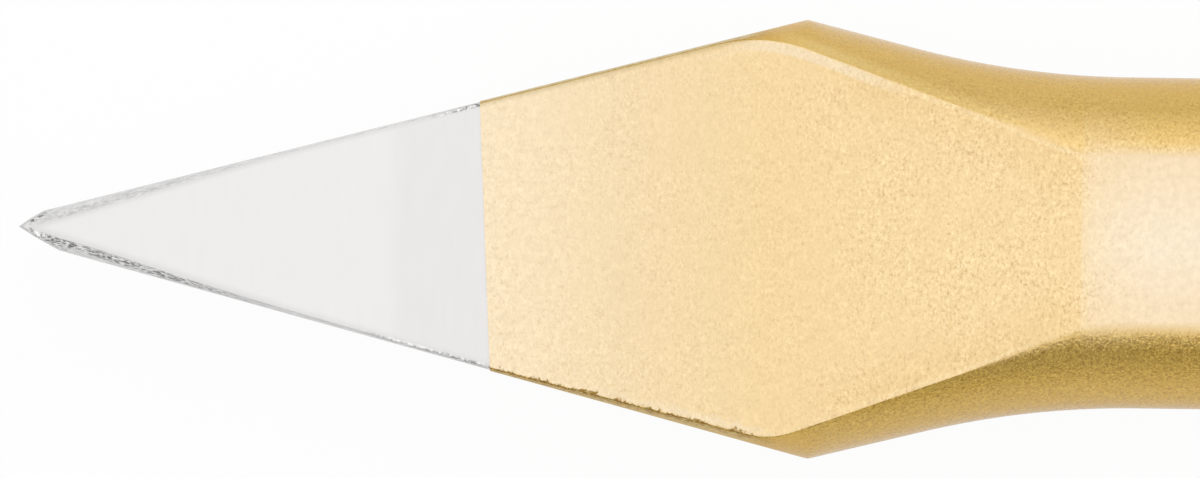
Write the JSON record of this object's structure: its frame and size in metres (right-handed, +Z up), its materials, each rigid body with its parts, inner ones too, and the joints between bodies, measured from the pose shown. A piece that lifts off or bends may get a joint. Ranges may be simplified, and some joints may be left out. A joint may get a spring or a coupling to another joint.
{
  "type": "cross cut chisel",
  "caption": "Forged steel chisel with a flat-oval shank and a diamond blade ground to a narrow bare edge, lacquered between edge and struck head, for cutting grooves and keyways.",
  "frame": {"origin": "on the surface that the chisel lies on, under the middle of its box", "axes": "+X from the cutting edge along the tool to the struck head, +Y across the blade's width, +Z up out of the upper flat; the cutting edge itself runs along Z"},
  "size_m": [0.2, 0.0264, 0.012],
  "materials": {
    "bare_steel": "fine ground, bright",
    "gold_lacquer": "satin gold lacquer with a fine metallic grain"
  },
  "bodies": {
    "root": {"forged_body": "bare_steel", "lacquer_coat": "gold_lacquer"}
  },
  "joints": []
}
